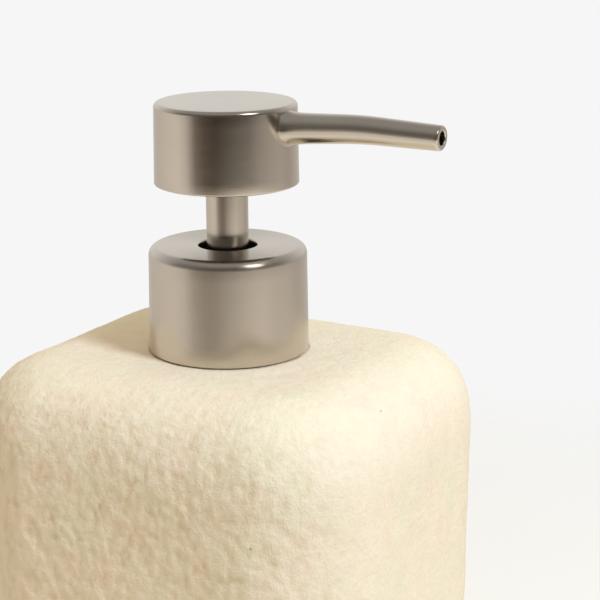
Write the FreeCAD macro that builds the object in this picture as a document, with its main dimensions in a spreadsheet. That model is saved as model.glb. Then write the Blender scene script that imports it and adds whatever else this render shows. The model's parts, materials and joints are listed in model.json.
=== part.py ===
import FreeCAD, Part
import math
import os
import re
import Sketcher

# Soap pump dispenser: a cast rounded-box container with a screwed-on lotion pump.
# Millimetres and degrees. The origin is on the pump's axis at the plane the pad rests on,
# +Z is up and +X is the way the spout points, square to a narrow face of the container.

# Every driving size: its name, its value and what it is.
SIZES = [
    ("body_width", 90, "container across X at the widest"),
    ("body_depth", 80, "container across Y at the widest"),
    ("body_height", 114, "container's flat top above the table"),
    ("corner_radius", 22, "upright corners of the container"),
    ("shoulder_radius", 15.5, "edge between the container's sides and its top"),
    ("base_edge_radius", 4, "edge between the container's sides and its base"),
    ("side_taper", 1.1, "degrees by which the sides lean in towards the base"),
    ("wall_thickness", 5, "container wall"),
    ("floor_thickness", 5, "plate that closes the container's base"),
    ("pad_thickness", 1.5, "soft pad under the base"),
    ("pad_inset", 5.5, "pad's edge inside the container's base outline"),
    ("skirt_depth", 8, "neck insert below the container's top"),
    ("skirt_wall", 2.5, "neck insert's skirt, which fills the hole in the container's top"),
    ("neck_flange_overlap", 2, "neck insert's flange past that hole's edge"),
    ("neck_flange_thickness", 1.2, "neck insert's flange"),
    ("neck_height", 17.5, "neck's rim above the container's top"),
    ("neck_wall", 1.9, "neck under its thread"),
    ("neck_bore_radius", 10.9, "hole through the neck"),
    ("thread_depth", 1, "thread ridges, neck and cap"),
    ("thread_lead", 4.233, "rise of the thread in one turn"),
    ("thread_turns", 1.5, "length of each thread"),
    ("thread_root_width", 1.7, "thread ridge where it leaves its wall"),
    ("thread_crest_width", 0.9, "thread ridge at its crest"),
    ("thread_clearance", 0.25, "crest of one thread to the wall of the other"),
    ("thread_start_below_rim", 8.6, "foot of the neck's thread below its rim"),
    ("gasket_thickness", 1, "soft ring between the neck and the pump"),
    ("flange_thickness", 1.2, "pump housing's flange"),
    ("flange_overhang", 0.2, "pump housing's flange past the neck's wall"),
    ("boss_clearance", 0.7, "pump housing's boss inside the neck"),
    ("boss_rise", 0.5, "boss above the flange"),
    ("boss_drop", 6, "boss below the flange"),
    ("boss_taper_height", 1.5, "cone from the boss to the barrel"),
    ("barrel_wall", 1.35, "pump barrel"),
    ("barrel_bore_radius", 6.25, "pump barrel inside"),
    ("barrel_depth", 42.5, "bore from its mouth down to its floor"),
    ("guide_seat_wall", 1.8, "boss round the barrel's wide mouth, which takes the guide"),
    ("guide_seat_depth", 5.7, "wide mouth of the barrel"),
    ("guide_plug_length", 4.7, "guide's plug in that mouth"),
    ("guide_rim_thickness", 0.9, "guide's rim on the boss"),
    ("guide_dish_inset", 1.2, "guide's dished middle inside the barrel's wide mouth"),
    ("guide_dish_depth", 1.7, "dished middle of the guide below its rim"),
    ("ball_radius", 2.38, "inlet ball"),
    ("ball_chamber_gap", 0.92, "ball to the wall of the chamber it lifts in"),
    ("ball_chamber_depth", 6, "chamber below the barrel's floor"),
    ("inlet_radius", 1.2, "hole under the ball"),
    ("seat_cone_height", 1.9, "conical seat under the ball"),
    ("inlet_length", 2, "hole under the ball"),
    ("socket_depth", 12, "dip tube's socket"),
    ("socket_wall", 1.6, "dip tube's socket"),
    ("barrel_foot_height", 5, "cone between the barrel and the socket"),
    ("tube_radius", 3, "dip tube outside"),
    ("tube_wall", 0.9, "dip tube"),
    ("tube_floor_gap", 4, "dip tube's end above the container's floor"),
    ("retainer_thickness", 1.2, "disc over the ball chamber"),
    ("retainer_hole_radius", 0.7, "flow holes in that disc"),
    ("retainer_hole_margin", 0.1, "flow holes to the ring that centres the spring"),
    ("spigot_clearance", 0.3, "that ring inside the spring"),
    ("spigot_wall", 0.8, "ring that centres the spring"),
    ("spigot_height", 2.8, "ring that centres the spring"),
    ("spring_clearance", 1.25, "spring inside the barrel"),
    ("wire_radius", 0.4, "spring wire"),
    ("spring_coils", 8, "turns of the spring"),
    ("piston_lag", 1.2, "piston's play on its rod"),
    ("rod_radius", 2.5, "piston rod"),
    ("rod_bore_radius", 1.4, "channel up the piston rod"),
    ("rod_spigot_length", 9.6, "rod inside the stem"),
    ("rod_tip_length", 15, "rod below its shoulder"),
    ("rod_tip_taper", 3, "pointed end of the rod"),
    ("rod_tip_radius", 1.5, "blunt end of the rod"),
    ("shoulder_disc_clearance", 1.05, "rod's shoulder, which the spring pushes, inside the barrel"),
    ("shoulder_disc_thickness", 1.2, "rod's shoulder"),
    ("port_radius", 0.8, "side ports in the rod"),
    ("piston_height", 7, "piston's inner sleeve"),
    ("piston_sleeve_wall", 1.1, "piston's inner sleeve"),
    ("piston_web", 1.4, "disc between the piston's sleeve and skirt"),
    ("piston_skirt_wall", 0.7, "piston's sealing lips"),
    ("piston_waist", 0.2, "skirt's middle inside its lips"),
    ("piston_lip_height", 1.6, "skirt's flared lips"),
    ("piston_skirt_inset", 0.3, "skirt's ends short of the sleeve's ends"),
    ("running_clearance", 0.05, "between pieces that slide or turn on each other"),
    ("stem_radius", 3.7, "plastic stem"),
    ("stem_bore_radius", 2, "channel up the stem"),
    ("stem_flange_clearance", 0.65, "stem's foot, which stops under the guide, inside the barrel"),
    ("stem_flange_thickness", 1.15, "stem's foot"),
    ("sleeve_wall", 0.6, "metal sleeve on the stem"),
    ("sleeve_in_head", 4.75, "metal sleeve inside the head"),
    ("stem_in_head", 9.25, "plastic stem inside the head"),
    ("guide_clearance", 0.08, "metal sleeve in its guide"),
    ("collar_height", 21.65, "metal collar"),
    ("collar_gap", 0.3, "collar above the container"),
    ("collar_draft", 0.3, "collar's radius at its foot, more than at its top"),
    ("collar_wall", 0.6, "collar's sheet metal"),
    ("collar_edge_radius", 1.9, "collar's rounded top edge"),
    ("collar_hole_gap", 1.76, "hole in the collar's top round the metal sleeve"),
    ("collar_hole_edge", 0.25, "rounding of that hole's edge"),
    ("cap_wall", 1.85, "screw cap at its foot, inside the collar"),
    ("cap_foot_gap", 0.3, "screw cap above the neck insert's flange"),
    ("cap_hole_clearance", 0.1, "screw cap's hole round the boss"),
    ("cap_flange_gap", 0.1, "screw cap's top above the pump's flange"),
    ("press_stroke", 11.5, "head's travel"),
    ("pressed_gap", 1.31, "head above the collar when it is pressed"),
    ("head_height", 16.65, "head"),
    ("head_base_radius", 14.74, "head at its foot"),
    ("head_draft", 0.26, "head's radius at its foot, more than at its top"),
    ("head_wall", 0.8, "head's metal"),
    ("head_edge_radius", 0.95, "head's rounded top edge"),
    ("head_rim_radius", 0.35, "head's rounded lower rim"),
    ("core_recess", 0.8, "head's plastic core above the metal's lower rim"),
    ("core_disc_thickness", 1.5, "core's bottom disc"),
    ("core_hub_wall", 2.1, "core's hub round the metal sleeve"),
    ("core_rib_thickness", 1.2, "core's ribs"),
    ("core_arm_wall", 1.3, "core's arm round the spout's root"),
    ("spout_height", 24.48, "spout's axis above the collar's top, at its inner end"),
    ("spout_start", 6, "spout's inner end from the pump's axis"),
    ("spout_reach", 47.8, "spout's tip from the pump's axis"),
    ("spout_rise", 3.75, "degrees by which the spout climbs out of the head"),
    ("spout_droop", 1.3, "degrees by which its outer half falls"),
    ("spout_bend_place", 30.6, "middle of the bend from the pump's axis"),
    ("spout_bend_radius", 90, "bend, along the spout's axis"),
    ("spout_root_radius", 3.3, "spout outside at its inner end"),
    ("spout_tip_radius", 2.47, "spout outside at its tip"),
    ("spout_root_bore", 2.1, "radius of the spout's bore at its inner end"),
    ("spout_tip_bore", 1.36, "radius of the spout's bore at its tip"),
    ("spout_tip_edge", 0.45, "spout's rounded tip"),
]

# Sizes and heights that follow from the driving ones.
DERIVED = {
    "shell_bottom": "pad_thickness",
    "shell_top": "body_height",
    "taper_slope": "tan(side_taper * 1 deg)",
    "widest_rise": "shell_top - shoulder_radius - shell_bottom",
    "foot_width": "body_width - 2 * taper_slope * widest_rise",
    "foot_depth": "body_depth - 2 * taper_slope * widest_rise",
    "foot_corner": "corner_radius - taper_slope * widest_rise",
    "plate_top": "shell_bottom + floor_thickness",
    "neck_rim": "shell_top + neck_height",
    "mouth_radius": "neck_bore_radius + skirt_wall",
    "neck_flange_radius": "mouth_radius + neck_flange_overlap",
    "neck_core_radius": "neck_bore_radius + neck_wall",
    "thread_radius": "neck_core_radius + thread_depth",
    "cap_bore_radius": "thread_radius + thread_clearance",
    "thread_foot": "neck_rim - thread_start_below_rim",
    "gasket_top": "neck_rim + gasket_thickness",
    "flange_top": "gasket_top + flange_thickness",
    "flange_radius": "neck_core_radius + flange_overhang",
    "boss_radius": "neck_bore_radius - boss_clearance",
    "boss_top": "flange_top + boss_rise",
    "boss_foot": "gasket_top - boss_drop",
    "guide_foot": "boss_top - guide_plug_length",
    "guide_top": "boss_top + guide_rim_thickness",
    "guide_seat_radius": "boss_radius - guide_seat_wall",
    "guide_dish_radius": "guide_seat_radius - guide_dish_inset",
    "barrel_radius": "barrel_bore_radius + barrel_wall",
    "barrel_mouth": "boss_top - guide_seat_depth",
    "barrel_floor": "barrel_mouth - barrel_depth",
    "chamber_floor": "barrel_floor - ball_chamber_depth",
    "ball_chamber_radius": "ball_radius + ball_chamber_gap",
    "socket_top": "chamber_floor - inlet_length",
    "socket_foot": "socket_top - socket_depth",
    "socket_radius": "tube_radius + socket_wall",
    "retainer_top": "barrel_floor + retainer_thickness",
    "spring_radius": "barrel_bore_radius - spring_clearance - wire_radius",
    "spigot_radius": "spring_radius - wire_radius - spigot_clearance",
    "spigot_bore_radius": "spigot_radius - spigot_wall",
    "retainer_hole_circle": "spigot_bore_radius - retainer_hole_margin - retainer_hole_radius",
    "sleeve_radius": "stem_radius + sleeve_wall",
    "guide_radius": "sleeve_radius + guide_clearance",
    "stem_flange_radius": "barrel_bore_radius - stem_flange_clearance",
    "stem_flange_top": "guide_foot - running_clearance",
    "stem_foot": "stem_flange_top - stem_flange_thickness",
    "piston_top": "stem_foot - running_clearance - piston_lag",
    "piston_foot": "piston_top - piston_height",
    "shoulder_disc_radius": "barrel_bore_radius - shoulder_disc_clearance",
    "shoulder_top": "piston_foot - running_clearance",
    "shoulder_foot": "shoulder_top - shoulder_disc_thickness",
    "rod_socket_radius": "rod_radius + running_clearance",
    "piston_radius": "barrel_bore_radius - running_clearance",
    "collar_base_radius": "cap_bore_radius + cap_wall + collar_wall",
    "collar_top_radius": "collar_base_radius - collar_draft",
    "collar_hole_radius": "sleeve_radius + collar_hole_gap",
    "collar_foot": "shell_top + collar_gap",
    "collar_top": "collar_foot + collar_height",
    "cap_foot": "shell_top + neck_flange_thickness + cap_foot_gap",
    "cap_underside": "flange_top + cap_flange_gap",
    "cap_top": "collar_top - collar_wall",
    "lining_draft": "collar_draft / (collar_height - collar_wall)",
    "head_top_radius": "head_base_radius - head_draft",
    "head_foot": "collar_top + pressed_gap + press_stroke",
    "head_top": "head_foot + head_height",
    "core_foot": "head_foot + core_recess",
    "core_top": "head_top - head_wall",
    "core_hub_radius": "sleeve_radius + core_hub_wall",
    "core_arm_radius": "spout_root_radius + core_arm_wall",
    "spout_level": "collar_top + spout_height",
}

# Short names for the parts of a piece's place.
PLACES = {
    "at_x": ".Placement.Base.x",
    "at_y": ".Placement.Base.y",
    "at_z": ".Placement.Base.z",
    "lift": ".AttachmentOffset.Base.z",
    "tilt": ".Placement.Rotation.Angle",
}

NAME = re.compile(r"[a-z]+(?:_[a-z]+)+")

# How far apart two places may be, in millimetres, and still count as one.
SAME_PLACE = 1e-4

document = FreeCAD.newDocument("soap_pump_dispenser")
sheet = document.addObject("Spreadsheet::Sheet", "sizes")
for row, (alias, number, meaning) in enumerate(SIZES, start=1):
    sheet.set(f"A{row}", meaning)
    sheet.set(f"B{row}", str(number))
    sheet.setAlias(f"B{row}", alias)
document.recompute()
reader = document.addObject("App::FeaturePython", "reader")


def formula(text):
    """The expression that FreeCAD reads, with every derived size worked back to the sheet."""

    def written_out(match):
        name = match.group(0)
        if name in DERIVED:
            return f"({formula(DERIVED[name])})"
        return f"sizes.{name}"

    return NAME.sub(written_out, text)


def value(text):
    """A size, or a sum of sizes, as a number."""
    return float(reader.evalExpression(formula(text)))


def bind(thing, **settings):
    """Tie properties, or the places named in PLACES, to the sheet."""
    for name, text in settings.items():
        thing.setExpression(PLACES.get(name, name), formula(text))


def origin_plane(body, role):
    for feature in body.Origin.OriginFeatures:
        if feature.Role == role:
            return feature
    raise ValueError(role)


def sketch_on(body, name, role):
    sketch = body.newObject("Sketcher::SketchObject", name)
    sketch.AttachmentSupport = (origin_plane(body, role), [""])
    sketch.MapMode = "FlatFace"
    return sketch


def dimension(sketch, kind, *args, text):
    """A dimension of a sketch, tied to the sheet."""
    index = sketch.addConstraint(Sketcher.Constraint(kind, *args, value(text)))
    sketch.setExpression(f"Constraints[{index}]", formula(text))


def new_body(label):
    body = document.addObject("PartDesign::Body", label)
    body.Label = label
    return body


def outline(sketch, points):
    """A closed outline of straight sides, each corner placed by two sizes from the axes."""
    corners = [FreeCAD.Vector(value(across), value(up), 0) for across, up in points]
    count = len(corners)
    for index in range(count):
        sketch.addGeometry(Part.LineSegment(corners[index], corners[(index + 1) % count]))
    for index in range(count):
        sketch.addConstraint(Sketcher.Constraint("Coincident", index, 2, (index + 1) % count, 1))
    for index, (across, up) in enumerate(points):
        if across == "0":
            sketch.addConstraint(Sketcher.Constraint("PointOnObject", index, 1, -2))
        else:
            dimension(sketch, "DistanceX", -1, 1, index, 1, text=across)
        dimension(sketch, "DistanceY", -1, 1, index, 1, text=up)


def turned(label, points):
    """A round piece: its half section, as (radius, height) pairs, turned about the pump's axis."""
    body = new_body(label)
    sketch = sketch_on(body, f"{label}_section", "XZ_Plane")
    outline(sketch, points)
    revolution = body.newObject("PartDesign::Revolution", f"{label}_turned")
    revolution.Profile = sketch
    revolution.ReferenceAxis = (sketch, ["V_Axis"])
    revolution.Angle = 360
    body.Tip = revolution
    document.recompute()
    return body


def rounded_edges(body, label, radius, *rims):
    """Round the circular edges of a turned piece that have the given (radius, height) pairs."""
    base = body.Tip
    wanted = [(value(rim), value(level)) for rim, level in rims]
    names = []
    for number, edge in enumerate(base.Shape.Edges, start=1):
        curve = edge.Curve
        if not isinstance(curve, Part.Circle):
            continue
        for rim, level in wanted:
            if abs(curve.Radius - rim) < SAME_PLACE and abs(curve.Center.z - level) < SAME_PLACE:
                names.append(f"Edge{number}")
    if len(names) < len(wanted):
        raise ValueError(f"{label}: an edge to round is missing")
    fillet = body.newObject("PartDesign::Fillet", label)
    fillet.Base = (base, names)
    bind(fillet, Radius=radius)
    body.Tip = fillet
    document.recompute()


def rounded_block(label, width, depth, corner, base, height, taper="0"):
    """An upright block with rounded corners whose sides lean out by taper as they rise."""
    body = new_body(label)
    sketch = sketch_on(body, f"{label}_plan", "XY_Plane")
    half_width = value(width) / 2
    half_depth = value(depth) / 2
    radius = value(corner)
    sides = []
    for turn in range(4):
        reach, side = (half_width, half_depth) if turn % 2 == 0 else (half_depth, half_width)
        spin = FreeCAD.Rotation(FreeCAD.Vector(0, 0, 1), 90 * turn)
        start = spin.multVec(FreeCAD.Vector(reach, radius - side, 0))
        end = spin.multVec(FreeCAD.Vector(reach, side - radius, 0))
        centre = spin.multVec(FreeCAD.Vector(reach - radius, side - radius, 0))
        circle = Part.Circle(centre, FreeCAD.Vector(0, 0, 1), radius)
        first = math.radians(90 * turn)
        sides.append(sketch.addGeometry(Part.LineSegment(start, end)))
        sides.append(sketch.addGeometry(Part.ArcOfCircle(circle, first, first + math.pi / 2)))
    for index in range(8):
        after = (index + 1) % 8
        sketch.addConstraint(Sketcher.Constraint("Tangent", sides[index], 2, sides[after], 1))
    for index in (0, 4):
        sketch.addConstraint(Sketcher.Constraint("Vertical", sides[index]))
    for index in (2, 6):
        sketch.addConstraint(Sketcher.Constraint("Horizontal", sides[index]))
    for index in (3, 5, 7):
        sketch.addConstraint(Sketcher.Constraint("Equal", sides[1], sides[index]))
    dimension(sketch, "Radius", sides[1], text=corner)
    dimension(sketch, "DistanceX", -1, 1, sides[0], 1, text=f"({width}) / 2")
    dimension(sketch, "DistanceY", -1, 1, sides[2], 1, text=f"({depth}) / 2")
    dimension(sketch, "DistanceX", sides[4], 1, -1, 1, text=f"({width}) / 2")
    dimension(sketch, "DistanceY", sides[6], 1, -1, 1, text=f"({depth}) / 2")
    bind(sketch, lift=base)
    pad = body.newObject("PartDesign::Pad", f"{label}_block")
    pad.Profile = sketch
    bind(pad, Length=height)
    if taper != "0":
        bind(pad, TaperAngle=taper)
    body.Tip = pad
    document.recompute()
    return body


def rounded_level(body, label, level, radius):
    """Round all the edges of a block that lie in one level plane."""
    base = body.Tip
    plane = value(level)
    names = []
    for number, edge in enumerate(base.Shape.Edges, start=1):
        box = edge.BoundBox
        if abs(box.ZMin - plane) < SAME_PLACE and abs(box.ZMax - plane) < SAME_PLACE:
            names.append(f"Edge{number}")
    if not names:
        raise ValueError(f"{label}: no edge lies in that plane")
    fillet = body.newObject("PartDesign::Fillet", label)
    fillet.Base = (base, names)
    bind(fillet, Radius=radius)
    body.Tip = fillet
    document.recompute()


def primitive(kind, label, **settings):
    thing = document.addObject(f"Part::{kind}", label)
    bind(thing, **settings)
    return thing


def lying(thing, angle):
    """Lay a cylinder along the horizontal direction at this angle from +X."""
    tip = FreeCAD.Vector(math.cos(math.radians(angle)), math.sin(math.radians(angle)), 0)
    thing.Placement.Rotation = FreeCAD.Rotation(FreeCAD.Vector(0, 0, 1), tip)
    return thing


def joined(label, *things):
    fuse = document.addObject("Part::MultiFuse", label)
    fuse.Shapes = list(things)
    fuse.Refine = False
    return fuse


def cut_away(label, base, tool):
    cut = document.addObject("Part::Cut", label)
    cut.Base = base
    cut.Tool = tool
    return cut


def kept_inside(label, base, form):
    common = document.addObject("Part::Common", label)
    common.Base = base
    common.Tool = form
    return common


# --- the container -------------------------------------------------------------------------


def container():
    outer = rounded_block(
        "shell_form", "foot_width", "foot_depth", "foot_corner",
        "shell_bottom", "shell_top - shell_bottom", "side_taper",
    )
    rounded_level(outer, "shell_shoulder", "shell_top", "shoulder_radius")
    rounded_level(outer, "shell_base_edge", "shell_bottom", "base_edge_radius")
    cavity = rounded_block(
        "cavity_form", "foot_width - 2 * wall_thickness", "foot_depth - 2 * wall_thickness",
        "foot_corner - wall_thickness", "shell_bottom",
        "shell_top - wall_thickness - shell_bottom", "side_taper",
    )
    rounded_level(
        cavity, "cavity_shoulder", "shell_top - wall_thickness", "shoulder_radius - wall_thickness",
    )
    mouth = primitive("Cylinder", "mouth_form", Radius="mouth_radius", Height="shell_top")
    blank = cut_away("shell_blank", outer, cavity)
    shell = cut_away("body_shell", blank, mouth)

    slab = primitive(
        "Cylinder", "plate_slab", Radius="body_width + body_depth",
        Height="floor_thickness", at_z="shell_bottom",
    )
    plate = kept_inside("base_plate", cavity, slab)
    pad = rounded_block(
        "base_pad", "foot_width - 2 * pad_inset", "foot_depth - 2 * pad_inset",
        "foot_corner - pad_inset", "0", "pad_thickness",
    )
    return [shell, plate, pad]


# --- threads and the spring ----------------------------------------------------------------


def upright_sketch(label):
    sketch = document.addObject("Sketcher::SketchObject", label)
    sketch.Placement.Rotation = FreeCAD.Rotation(FreeCAD.Vector(1, 0, 0), 90)
    return sketch


def coiled(label, section, lead, rise, radius, start):
    """A bar of the given section wound up the pump's axis."""
    helix = document.addObject("Part::Helix", f"{label}_path")
    bind(helix, Pitch=lead, Height=rise, Radius=radius, at_z=start)
    sweep = document.addObject("Part::Sweep", label)
    sweep.Sections = [section]
    sweep.Spine = (helix, ["Edge1"])
    sweep.Solid = True
    sweep.Frenet = True
    return sweep


def thread(label, wall, crest, path_radius, start):
    """A thread ridge: its section runs from inside its wall to its crest."""
    section = upright_sketch(f"{label}_section")
    outline(section, [
        (wall, f"{start} - thread_root_width / 2"),
        (crest, f"{start} - thread_crest_width / 2"),
        (crest, f"{start} + thread_crest_width / 2"),
        (wall, f"{start} + thread_root_width / 2"),
    ])
    return coiled(label, section, "thread_lead", "thread_lead * thread_turns", path_radius, start)


def neck_insert():
    core = turned("neck_core", [
        ("neck_bore_radius", "shell_top - skirt_depth"),
        ("mouth_radius", "shell_top - skirt_depth"),
        ("mouth_radius", "shell_top"),
        ("neck_flange_radius", "shell_top"),
        ("neck_flange_radius", "shell_top + neck_flange_thickness"),
        ("neck_core_radius", "shell_top + neck_flange_thickness"),
        ("neck_core_radius", "neck_rim"),
        ("neck_bore_radius", "neck_rim"),
    ])
    outside_thread = thread(
        "neck_thread", "neck_core_radius - thread_clearance", "thread_radius",
        "neck_core_radius", "thread_foot",
    )
    return [joined("neck_insert", core, outside_thread)]


def closure():
    shell = turned("collar_shell", [
        ("collar_hole_radius", "collar_top"),
        ("collar_top_radius", "collar_top"),
        ("collar_base_radius", "collar_foot"),
        ("collar_base_radius - collar_wall", "collar_foot"),
        ("collar_top_radius - collar_wall", "cap_top"),
        ("collar_hole_radius", "cap_top"),
    ])
    rounded_edges(shell, "collar_inner_edge", "collar_edge_radius - collar_wall",
                  ("collar_top_radius - collar_wall", "cap_top"))
    rounded_edges(shell, "collar_outer_edge", "collar_edge_radius", ("collar_top_radius", "collar_top"))
    rounded_edges(shell, "collar_hole_rim", "collar_hole_edge", ("collar_hole_radius", "collar_top"))

    inside = "collar_base_radius - collar_wall"
    cap_side = turned("cap_core", [
        ("boss_radius + cap_hole_clearance", "cap_underside"),
        ("cap_bore_radius", "cap_underside"),
        ("cap_bore_radius", "cap_foot"),
        (f"{inside} - lining_draft * (cap_foot - collar_foot)", "cap_foot"),
        ("collar_top_radius - collar_wall", "cap_top"),
        ("boss_radius + cap_hole_clearance", "cap_top"),
    ])
    rounded_edges(cap_side, "cap_edge", "collar_edge_radius - collar_wall",
                  ("collar_top_radius - collar_wall", "cap_top"))
    inside_thread = thread(
        "cap_thread", "cap_bore_radius + thread_clearance", "cap_bore_radius - thread_depth",
        "cap_bore_radius", "thread_foot - thread_lead / 2",
    )
    return [shell, joined("screw_cap", cap_side, inside_thread)]


# --- the pump ------------------------------------------------------------------------------


def pump_housing():
    housing = turned("pump_housing", [
        ("guide_seat_radius", "boss_top"),
        ("boss_radius", "boss_top"),
        ("boss_radius", "flange_top"),
        ("flange_radius", "flange_top"),
        ("flange_radius", "gasket_top"),
        ("boss_radius", "gasket_top"),
        ("boss_radius", "boss_foot"),
        ("barrel_radius", "boss_foot - boss_taper_height"),
        ("barrel_radius", "barrel_floor"),
        ("socket_radius", "barrel_floor - barrel_foot_height"),
        ("socket_radius", "socket_foot"),
        ("tube_radius", "socket_foot"),
        ("tube_radius", "socket_top"),
        ("inlet_radius", "socket_top"),
        ("inlet_radius", "chamber_floor"),
        ("ball_chamber_radius", "chamber_floor + seat_cone_height"),
        ("ball_chamber_radius", "barrel_floor"),
        ("barrel_bore_radius", "barrel_floor"),
        ("barrel_bore_radius", "barrel_mouth"),
        ("guide_seat_radius", "barrel_mouth"),
    ])
    guide = turned("stem_guide", [
        ("guide_radius", "guide_top - guide_dish_depth"),
        ("guide_dish_radius", "guide_top - guide_dish_depth"),
        ("guide_dish_radius", "guide_top"),
        ("boss_radius", "guide_top"),
        ("boss_radius", "boss_top"),
        ("guide_seat_radius", "boss_top"),
        ("guide_seat_radius", "guide_foot"),
        ("guide_radius", "guide_foot"),
    ])
    gasket = turned("gasket", [
        ("boss_radius + cap_hole_clearance", "neck_rim"),
        ("flange_radius", "neck_rim"),
        ("flange_radius", "gasket_top"),
        ("boss_radius + cap_hole_clearance", "gasket_top"),
    ])
    tube = turned("dip_tube", [
        ("tube_radius - tube_wall", "plate_top + tube_floor_gap"),
        ("tube_radius", "plate_top + tube_floor_gap"),
        ("tube_radius", "socket_top"),
        ("tube_radius - tube_wall", "socket_top"),
    ])
    return [housing, guide, gasket, tube]


def ball_retainer():
    disc = turned("retainer_disc", [
        ("0", "barrel_floor"),
        ("barrel_bore_radius", "barrel_floor"),
        ("barrel_bore_radius", "retainer_top"),
        ("spigot_radius", "retainer_top"),
        ("spigot_radius", "retainer_top + spigot_height"),
        ("spigot_bore_radius", "retainer_top + spigot_height"),
        ("spigot_bore_radius", "retainer_top"),
        ("0", "retainer_top"),
    ])
    holes = []
    for turn in range(4):
        angle = 90 * turn
        holes.append(primitive(
            "Cylinder", f"flow_hole_{turn}", Radius="retainer_hole_radius",
            Height="retainer_thickness", at_z="barrel_floor",
            at_x=f"retainer_hole_circle * cos({angle} deg)",
            at_y=f"retainer_hole_circle * sin({angle} deg)",
        ))
    return cut_away("ball_retainer", disc, joined("flow_holes", *holes))


def inlet_ball():
    """The ball stands clear of its conical seat by the running clearance."""
    run = "(ball_chamber_radius - inlet_radius)"
    slant = f"sqrt({run} ^ 2 + seat_cone_height ^ 2)"
    gap = "(ball_radius + running_clearance)"
    level = f"chamber_floor + ({gap} * {slant} - inlet_radius * seat_cone_height) / {run}"
    return primitive("Sphere", "inlet_ball", Radius="ball_radius", at_z=level)


def main_spring():
    """The wire's section stands square to the coil's slope."""
    end_gap = "(wire_radius + running_clearance)"
    start = f"retainer_top + {end_gap}"
    rise = f"(shoulder_foot - retainer_top - 2 * {end_gap})"
    lead = f"{rise} / spring_coils"
    wire = upright_sketch("spring_wire")
    wire.addGeometry(Part.Circle(FreeCAD.Vector(0, 0, 0), FreeCAD.Vector(0, 0, 1), value("wire_radius")))
    wire.addConstraint(Sketcher.Constraint("Coincident", 0, 3, -1, 1))
    dimension(wire, "Radius", 0, text="wire_radius")
    bind(wire, at_x="spring_radius", at_z=start, tilt=f"90 deg + atan({lead} / (2 * pi * spring_radius))")
    return coiled("main_spring", wire, lead, rise, "spring_radius", start)


def piston_rod():
    rod = turned("rod_blank", [
        ("0", "shoulder_foot - rod_tip_length"),
        ("rod_tip_radius", "shoulder_foot - rod_tip_length"),
        ("rod_radius", "shoulder_foot - rod_tip_length + rod_tip_taper"),
        ("rod_radius", "shoulder_foot"),
        ("shoulder_disc_radius", "shoulder_foot"),
        ("shoulder_disc_radius", "shoulder_top"),
        ("rod_radius", "shoulder_top"),
        ("rod_radius", "stem_foot + rod_spigot_length"),
        ("rod_bore_radius", "stem_foot + rod_spigot_length"),
        ("rod_bore_radius", "shoulder_top"),
        ("0", "shoulder_top"),
    ])
    ports = []
    for turn in range(2):
        port = primitive(
            "Cylinder", f"rod_port_{turn}", Radius="port_radius", Height="2 * shoulder_disc_radius",
            at_z="shoulder_top + port_radius",
        )
        ports.append(port)
    bind(ports[0], at_x="-shoulder_disc_radius")
    bind(ports[1], at_y="-shoulder_disc_radius")
    lying(ports[0], 0)
    lying(ports[1], 90)
    return cut_away("piston_rod", rod, joined("rod_ports", *ports))


def piston():
    bore = "rod_socket_radius"
    sleeve = f"{bore} + piston_sleeve_wall"
    lip = "piston_radius"
    waist = "piston_radius - piston_waist"
    inner = "piston_radius - piston_skirt_wall"
    web_foot = "(piston_foot + piston_top - piston_web) / 2"
    web_top = "(piston_foot + piston_top + piston_web) / 2"
    skirt_foot = "piston_foot + piston_skirt_inset"
    skirt_top = "piston_top - piston_skirt_inset"
    return turned("piston", [
        (bore, "piston_foot"),
        (sleeve, "piston_foot"),
        (sleeve, web_foot),
        (f"{inner} - piston_waist", web_foot),
        (inner, skirt_foot),
        (lip, skirt_foot),
        (waist, f"{skirt_foot} + piston_lip_height"),
        (waist, f"{skirt_top} - piston_lip_height"),
        (lip, skirt_top),
        (inner, skirt_top),
        (f"{inner} - piston_waist", web_top),
        (sleeve, web_top),
        (sleeve, "piston_top"),
        (bore, "piston_top"),
    ])


# --- the head ------------------------------------------------------------------------------


def stem_pieces():
    stem = turned("stem", [
        ("rod_socket_radius", "stem_foot"),
        ("stem_flange_radius", "stem_foot"),
        ("stem_flange_radius", "stem_flange_top"),
        ("stem_radius", "stem_flange_top"),
        ("stem_radius", "head_foot + stem_in_head"),
        ("stem_bore_radius", "head_foot + stem_in_head"),
        ("stem_bore_radius", "stem_foot + rod_spigot_length + running_clearance"),
        ("rod_socket_radius", "stem_foot + rod_spigot_length + running_clearance"),
    ])
    sleeve = turned("stem_sleeve", [
        ("stem_radius", "stem_flange_top"),
        ("sleeve_radius", "stem_flange_top"),
        ("sleeve_radius", "head_foot + sleeve_in_head"),
        ("stem_radius", "head_foot + sleeve_in_head"),
    ])
    return [stem, sleeve]


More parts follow.
